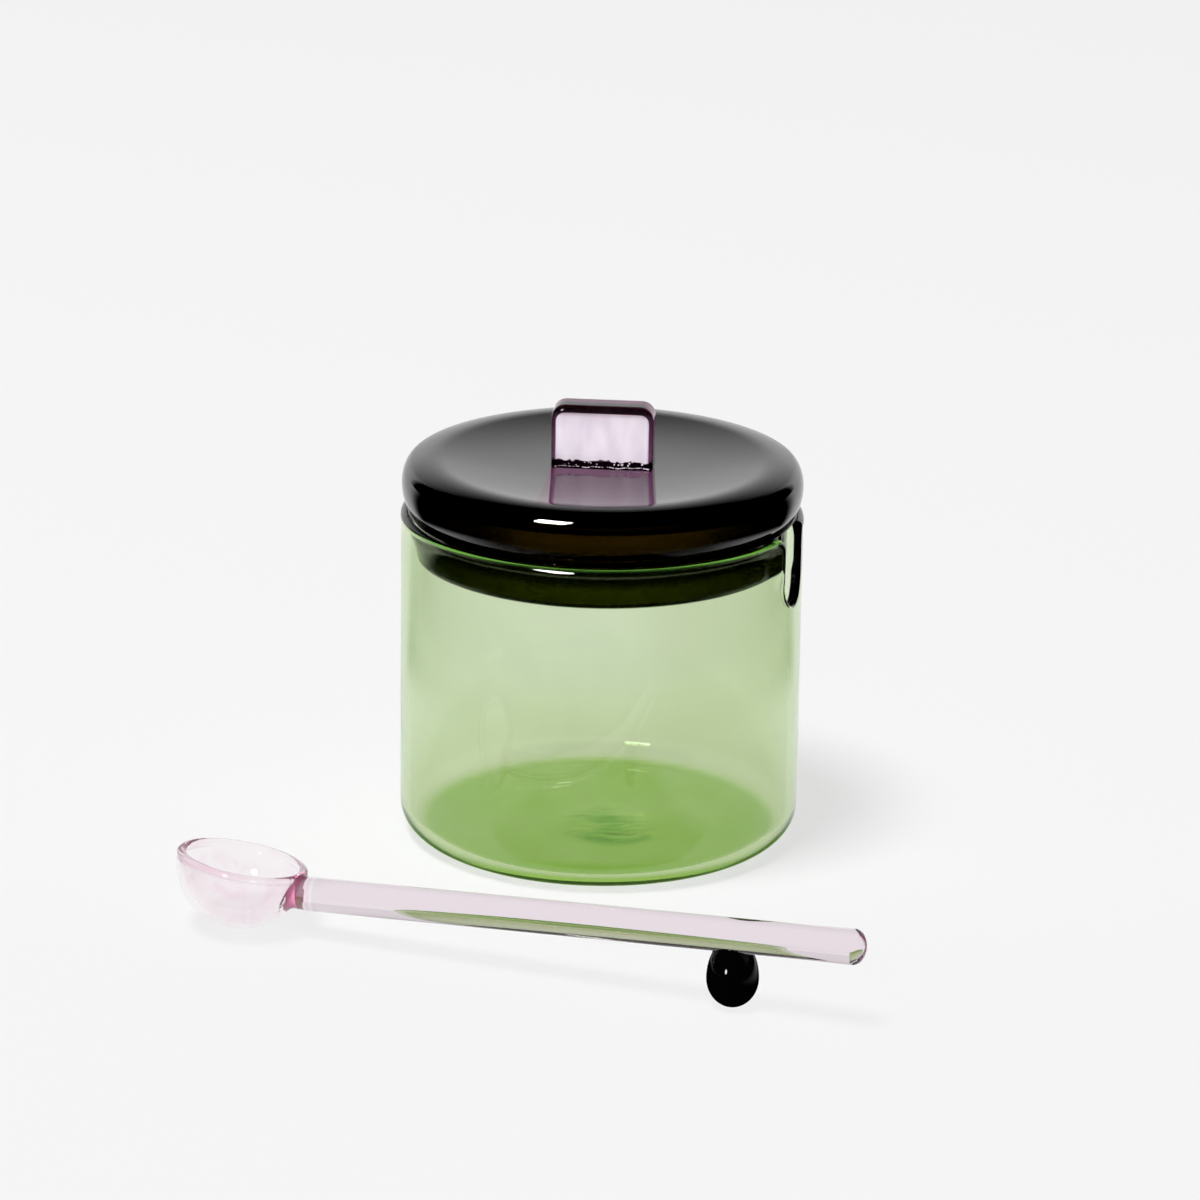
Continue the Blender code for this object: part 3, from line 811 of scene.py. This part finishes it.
def makeHandle():
    reach = handleShape.width / 2 + handleShape.room
    low = (-reach, -reach / 2, dishHeight(0) - handleShape.roomBelow)
    high = (reach, reach / 2, handleTop + handleShape.roomAbove)
    spot = turned(handleShape.turn) @ Matrix.Scale(mm, 4)
    handle = skinPiece("handleGlass", skinOf(handleField, low, high, handleShape.step), spot, handleLilac)
    sheet = placeMesh("handlePaleLayer", makeSheet())
    glintBalls = placeMesh("handleGlints", makeGlintBalls(footGlints))
    closeMesh(sheet.data, paleLayerMaterial, (makePad(),))
    sheet.data.shade_flat()
    closeMesh(glintBalls.data, glintWhite, (makeGlintBalls(footGlintLine),))
    for piece in (sheet, glintBalls):
        piece.data.transform(spot)
    for piece in (handle, sheet, glintBalls):
        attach(piece, "lid")
    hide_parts("lid_handle")
    print("handle:", len(handle.data.polygons), "faces, paleSheet:", len(sheet.data.polygons))


makeHandle()


# spoon: bowl and rod melted into one, the rose weld between them and the bead under the rod

spoonShape = named(
    place=(-76.71, -65.50, 0.0), bearing=-21.8, pitch=7.5, roll=-8.9,
    bowlRadius=14.28, bowlDepth=14.6, bowlWall=1.5, rimRound=0.9, rimOver=0.15, rimMelt=0.5,
    rodStart=15.9, rodLength=127.2, rodWide=7.35, rodPitch=3.65, belowRim=5.9, footRound=0.3,
    endWide=7.8, endSwell=14.0, endRound=1.0, endDome=1.6,
    neckWide=6.6, neckTaper=0.09, neckTapers=4, neckEnds=(-9, 2), neckMelt=1.4, step=0.45,
    room=1.5, roomBelow=1, tall=25,
)
neckShape = named(middle=-2.4, end=-1.8, reach=4.9, lift=0.04, ragged=0.25, step=0.25, room=1)
beadShape = named(
    station=113.5, width=11.1, waist=6.3, top=15.2, fillet=0.4, sunk=0.15, step=0.3, room=2, tall=17.5,
)
spoonFinish = named(
    soakPerMm=(0.0006, 0.0022, 0.0008), waveDepth=0.015, mirror=0.4, handWork=(120.0, 200.0, 0.0, 0.015))
neckFinish = named(body=(0.68, 0.22, 0.38), clear=0.3, waveDepth=0.05, handWork=(500.0, 700.0, 0.5, 0.1))
beadFinish = named(
    body=(0.0006, 0.0006, 0.0007), clear=0.0, shine=0.12, waveDepth=0.01, handWork=(160.0, 300.0, 0.1, 0.06))
spoonStain = named(  # the weld and the bowl's rim are deeper pink than the rest
    bowl=(0.995, 0.957, 0.974), bowlReach=(16.5, 15.5),
    cloud=(0.965, 0.855, 0.91), cloudScale=150.0, cloudTurn=0.8, cloudEnds=(0.5, 0.72),
    rim=(0.96, 0.78, 0.86), rimBase=30, rimAt=(29.3, 29.8), rimSide=(-0.75, -0.66, 0), rimReach=(19, 9),
    rimFrom=14, neck=(0.97, 0.8, 0.87), neckAt=13.3, neckShare=(0.36, 0.19, 0.19), neckReach=(1.05, 0.9),
    rod=(0.88, 0.805, 0.85), rodSoft=0.3,
)
spoonPink = makeGlass("spoonPinkGlass", spoonFinish)
beadBlack = makeGlass("beadBlackGlass", beadFinish)
neckRose = makeGlass("neckRoseGlass", neckFinish)
bowlTurn = np.array((turned(spoonShape.pitch, "Y") @ turned(spoonShape.roll, "X")).to_3x3())
bowlUp = bowlTurn[2, 2]
bowlHeight = math.hypot(spoonShape.bowlRadius * math.sqrt(1 - bowlUp ** 2), spoonShape.bowlDepth * bowlUp)
rodRise = math.tan(math.radians(spoonShape.rodPitch))
rodWay = np.array([1, 0, rodRise]) / math.hypot(1, rodRise)


def rodSpot(along):  # a place on the rod's line, at a distance from the bowl's middle
    return np.array([along, 0, bowlHeight - spoonShape.belowRim + along * rodRise])


rodFoot = rodSpot(spoonShape.rodStart)


def stainSpoon(tree):
    place = addNode(tree, "ShaderNodeTexCoord").outputs["Object"]
    foot, spin = Vector(spoonShape.place), turned(spoonShape.bearing).to_3x3()
    rodTurn = (0, -math.radians(spoonShape.rodPitch), math.radians(spoonShape.bearing))
    lying = spin @ Matrix(bowlTurn.tolist())
    rimAt = foot + Vector((0, 0, bowlHeight))
    base = rimAt - spoonStain.rimBase * (lying @ Vector((0, 0, 1)))
    close = fade(spanOf(place, rimAt, (1, 1, 1)), spoonStain.bowlReach)
    deepen(close, spoonStain.bowl)
    cloud = noise(place, spoonStain.cloudScale, 3.0, spoonStain.cloudTurn)
    deepen(times(close, fade(cloud, spoonStain.cloudEnds, 1)), spoonStain.cloud)
    side = rimAt + spoonStain.rimFrom * (spin @ Vector(spoonStain.rimSide))
    front = fade(spanOf(place, side, (1, 1, 1)), spoonStain.rimReach)
    edge = fade(spanOf(place, base, (0, 0, 1), lying.to_euler()), spoonStain.rimAt)
    deepen(times(edge, front, close), spoonStain.rim)
    weldAt = foot + spin @ Vector(rodSpot(spoonStain.neckAt))
    near = spanOf(place, weldAt, spoonStain.neckShare, rodTurn)
    deepen(fade(near, spoonStain.neckReach), spoonStain.neck)
    far = spanOf(place, foot + spin @ Vector(rodSpot(0)), (1, 0, 0), rodTurn)
    start, soft = spoonShape.rodStart, spoonStain.rodSoft
    deepen(fade(far, (start - soft, start + soft)), spoonStain.rod)


def bowlParts(points):  # the bowl's skin, and the distance outside the middle of its wall
    local = (points - np.array([0, 0, bowlHeight])) @ bowlTurn
    across = np.hypot(local[..., 0], local[..., 1])
    up = local[..., 2]
    radius, wall, bend = spoonShape.bowlRadius, spoonShape.bowlWall, spoonShape.rimRound
    middle = radius - wall / 2
    ball = np.hypot(across, up * radius / spoonShape.bowlDepth) - middle
    shell = np.where(up < 0, np.abs(ball), np.hypot(across - middle, up)) - wall / 2
    rim = np.hypot(across - radius + bend + spoonShape.rimOver, up) - bend
    return melt(shell, rim, spoonShape.rimMelt), ball


def rodParts(points):  # the distance along the rod and out from its line
    fromFoot = points - rodFoot
    along = fromFoot @ rodWay
    return along, np.sqrt(np.maximum((fromFoot ** 2).sum(-1) - along ** 2, 0))


def rodField(points):
    along, out = rodParts(points)
    length, wide = spoonShape.rodLength, spoonShape.rodWide
    nearEnd = np.clip(1 - (length - along) / spoonShape.endSwell, 0, 1)
    swollen = (wide + (spoonShape.endWide - wide) * nearEnd ** 2) / 2
    farHalf = along > length / 2
    bend = np.where(farHalf, spoonShape.endRound, spoonShape.footRound)
    dome = np.where(farHalf, spoonShape.endDome * (2 * out / wide) ** 2, 0)
    return rounded(out - swollen + bend, np.abs(along - length / 2) - length / 2 + bend + dome, bend)


def spoonField(points):
    bowl, ball = bowlParts(points)
    along, out = rodParts(points)
    tapers, (start, end) = spoonShape.neckTapers, spoonShape.neckEnds
    taper = spoonShape.neckWide / 2 + spoonShape.neckTaper * np.clip(along + tapers, 0, tapers)
    neck = np.maximum(np.maximum(out - taper, along - end), np.maximum(start - along, -ball))
    return melt(np.minimum(rodField(points), neck), bowl, spoonShape.neckMelt)


def neckField(points):  # the rose weld between bowl and rod, a hair thicker than the clear glass it lies in
    along, out = rodParts(points)
    around = np.arctan2(points[..., 2] - rodFoot[2], points[..., 1])
    reach = neckShape.reach + neckShape.ragged * (np.sin(3 * around) + np.sin(7 * around + 1))
    patch = np.maximum(np.hypot(along - neckShape.middle, out) - reach, along - neckShape.end)
    _, ball = bowlParts(points)
    return np.maximum(np.maximum(spoonField(points) - neckShape.lift, patch), -ball)


def beadField(points):  # an egg with its top fused to the rod
    half, waist = beadShape.width / 2, beadShape.waist
    across = np.hypot(points[..., 0] - beadShape.station, points[..., 1]) / half
    up = points[..., 2] - waist
    tall = np.where(up > 0, up / (beadShape.top - waist), -up / waist)
    egg = (np.hypot(across, tall) - 1) * half
    return fused(egg, rodField(points), beadShape)


def makeSpoon():
    stainSpoon(spoonPink.node_tree)
    spot = turned(spoonShape.bearing) @ Matrix.Scale(mm, 4)
    spot = Matrix.Translation(Vector(spoonShape.place) * mm) @ spot
    reach, below = spoonShape.bowlRadius + spoonShape.room, spoonShape.roomBelow
    end = spoonShape.rodStart + spoonShape.rodLength + below
    skin = skinOf(spoonField, (-reach, -reach, -below), (end, reach, spoonShape.tall), spoonShape.step)
    spoon = skinPiece("spoonGlass", skin, spot, spoonPink)
    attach(spoon, "spoon")
    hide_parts("spoon_bowl", "spoon_rod")
    middle, reach = rodFoot + rodWay * neckShape.middle, neckShape.reach + neckShape.room
    skin = skinOf(neckField, middle - reach, middle + reach, neckShape.step)
    neck = skinPiece("neckGlass", skin, spot, neckRose)
    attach(neck, "spoon")
    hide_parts("spoon_neck")
    middle, reach = beadShape.station, beadShape.width / 2 + beadShape.room
    low, high = (middle - reach, -reach, -below), (middle + reach, reach, beadShape.tall)
    bead = skinPiece("beadGlass", skinOf(beadField, low, high, beadShape.step), spot, beadBlack)
    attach(bead, "spoon")
    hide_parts("spoon_bead")
    print("spoon:", len(spoon.data.polygons), "faces, bead:", len(bead.data.polygons))


makeSpoon()


# stage: white floor, a pale room behind, a soft box in front, a wide lamp above and three lamps for glints

stageSet = named(
    floorSpan=8.0, floorGap=0.05, white=0.913, steady=(0.76, 0.93), steadyAt=(-0.03, -0.075),
    steadyThrough=0.92, underJar=(0.28, 0.5, 0.13), underReach=(50, 44),
    room=1.0, roomThrough=0.8, roomTurns=(46, 36), roomRise=(0.25, 0.62), lampsAim=(0, 0, 0.05),
)
darkReflectionSet = named(  # painted reflection: parts of the floor show black to mirrored light only, as dark cards would; lengths are from, to
    outside=(0.74, 0.54), outsideFrom=(120, 160), stripSides=(65, 45), stripFront=(-50, -56),
    besideFrom=(150, 210), besideFront=(140, 80), aheadFrom=(165, 200), aheadFront=(50, 0),
)
lampSet = {  # metres and watts, and the pieces that a lamp leaves out or lights alone
    "softBox": named(
        way=(-0.376, -0.562, 0.741), far=1.4, side=0.37, power=34.0, shape="SQUARE",
        mirrored=True, state="EXCLUDE", pieces=("floor", "spoonGlass", "beadGlass")),
    "wideLamp": named(
        way=(-1.05, -0.9, 4.2), far=1.0, side=1.3, power=206.0, shape="SQUARE",
        mirrored=False, state="EXCLUDE", pieces=("spoonGlass",)),
    "dotLamp": named(
        way=(-0.36, -0.74, 0.57), far=1.6, side=0.3, power=18.0, shape="DISK",
        mirrored=True, state="INCLUDE", pieces=("spoonGlass", "neckGlass")),
    "beadLamp": named(
        way=(-0.484, -0.873, 0.09), far=1.6, side=0.24, power=14.0, shape="DISK",
        mirrored=True, state="INCLUDE", pieces=("beadGlass",)),
    "glintLamp": named(
        way=(-0.36, -0.74, 0.57), far=1.6, side=0.45, power=44.0, shape="DISK",
        mirrored=True, state="INCLUDE", pieces=("jarGlass",)),
}


def darkReflectionShare(path, away, axes, mirrored):  # how far a floor point shows black, a painted dark reflection, to the ray that meets it
    aside, ahead = addMath("ABSOLUTE", axes["X"]), axes["Y"]
    outside = fade(addMath("DIVIDE", ahead, away), darkReflectionSet.outside, 1)
    outside = times(outside, fade(away, darkReflectionSet.outsideFrom))
    strip = times(fade(aside, darkReflectionSet.stripSides), fade(ahead, darkReflectionSet.stripFront))
    darkened = times(largest(outside, strip), mirrored)
    beside = times(fade(aside, darkReflectionSet.besideFrom), fade(ahead, darkReflectionSet.besideFront))
    before = times(fade(away, darkReflectionSet.aheadFrom), fade(ahead, darkReflectionSet.aheadFront))
    bounced = addMath("MINIMUM", path["Glossy Depth"], 1.0)  # through glass after a mirror bounce
    bounced = times(path["Is Transmission Ray"], bounced)
    return largest(darkened, times(largest(before, beside), bounced))


def makeFloor():
    half, depth = stageSet.floorSpan / 2, -stageSet.floorGap * mm
    corners = [(-half, -half, depth), (half, -half, depth), (half, half, depth), (-half, half, depth)]
    floor = placeMesh("floor", newMesh("floor", corners, [], [(0, 1, 2, 3)]))
    material, tree = newMaterial("whiteFloor")
    tree.nodes.remove(tree.nodes["Principled BSDF"])
    path = addNode(tree, "ShaderNodeLightPath").outputs
    place, axes = objectPlace(tree)
    away = spanOf(place, (0, 0, 0), (1, 1, 0))
    mirrored = addMath("SUBTRACT", path["Is Glossy Ray"], path["Is Transmission Ray"])
    white = (stageSet.white,) * 3
    under = times(fade(away, stageSet.underReach), mirrored)  # painted light: the floor under the jar shows green to mirrored rays, standing for light let through the green glass
    colour = mixColour(under, white, stageSet.underJar)
    lit = addOut(tree, "ShaderNodeBsdfDiffuse", {"Color": (*white, 1)})
    shown = addOut(tree, "ShaderNodeEmission", {"Color": colour, "Strength": 1.0})
    share = times(path["Is Camera Ray"], spread(axes["Y"], stageSet.steadyAt, stageSet.steady))
    share = addMath("MULTIPLY_ADD", path["Is Glossy Ray"], stageSet.steadyThrough, share)
    mixed = addOut(tree, "ShaderNodeMixShader", {0: share, 1: lit, 2: shown})
    # painted reflection: the floor shows black to mirrored rays where dark cards would stand
    darkened = darkReflectionShare(path, away, axes, mirrored)
    darkReflection = addOut(tree, "ShaderNodeEmission", {"Color": (0, 0, 0, 1)})
    mixed = addOut(tree, "ShaderNodeMixShader", {0: darkened, 1: mixed, 2: darkReflection})
    setInputs(tree.nodes["Material Output"], {"Surface": mixed})
    floor.data.materials.append(material)


def makeRoom():
    world = bpy.data.worlds.new("paleRoom")
    world.use_nodes = True
    scene.world = world
    tree = world.node_tree
    way = addNode(tree, "ShaderNodeTexCoord").outputs["Generated"]
    way = addNode(tree, "ShaderNodeSeparateXYZ", {0: way}).outputs
    turn = addMath("ARCTAN2", addMath("ABSOLUTE", way["X"]), way["Y"])
    behind = fade(turn, [math.radians(value) for value in stageSet.roomTurns], 1)
    low = spread(way["Z"], stageSet.roomRise, (stageSet.room, 0.0))
    through = addNode(tree, "ShaderNodeLightPath").outputs["Is Transmission Ray"]
    ends = {0: through, 2: times(behind, low), 3: stageSet.roomThrough}
    seen = addOut(tree, "ShaderNodeMix", ends, data_type="FLOAT")
    setInputs(tree.nodes["Background"], {"Color": (1, 1, 1, 1), "Strength": seen})


def makeLamp(name, lamp):
    light = bpy.data.lights.new(name, "AREA")
    light.shape, light.size, light.energy = lamp.shape, lamp.side, lamp.power
    item = bpy.data.objects.new(name, light)
    place = Vector(lamp.way) * lamp.far
    item.location = place
    item.rotation_euler = (Vector(stageSet.lampsAim) - place).to_track_quat("-Z", "Y").to_euler()
    item.visible_glossy = lamp.mirrored
    scene.collection.objects.link(item)
    chosen = bpy.data.collections.new(name + "Pieces")
    item.light_linking.receiver_collection = chosen
    for piece in lamp.pieces:
        chosen.objects.link(scene.objects[piece])
    for linked in chosen.collection_objects:
        linked.light_linking.link_state = lamp.state


def makeStage():
    makeFloor()
    makeRoom()
    for name, lamp in lampSet.items():
        makeLamp(name, lamp)
    print("stage: floor, room and", len(lampSet), "lamps")


makeStage()


# camera: as the photograph was taken

cameraSet = named(
    target=(-0.000242, 0.0, 0.053633), distance=1.30075, elevation=18.372, roll=0.801,
    lens=173.55, sensor=36, clip=(0.05, 50),
)


def makeCamera():
    lift, roll = math.radians(cameraSet.elevation), math.radians(cameraSet.roll)
    back = Vector((0, -math.cos(lift), math.sin(lift)))
    right, up = Vector((1, 0, 0)), Vector((0, math.sin(lift), math.cos(lift)))
    axes = (math.cos(roll) * right + math.sin(roll) * up, math.cos(roll) * up - math.sin(roll) * right, back)
    camera = bpy.data.objects.new("camera", bpy.data.cameras.new("camera"))
    camera.data.lens, camera.data.sensor_width = cameraSet.lens, cameraSet.sensor
    camera.data.clip_start, camera.data.clip_end = cameraSet.clip
    spot = Vector(cameraSet.target) + back * cameraSet.distance
    camera.matrix_world = Matrix.Translation(spot) @ Matrix(axes).transposed().to_4x4()
    scene.collection.objects.link(camera)
    scene.camera = camera
    print("camera: lens", cameraSet.lens, "mm")


makeCamera()
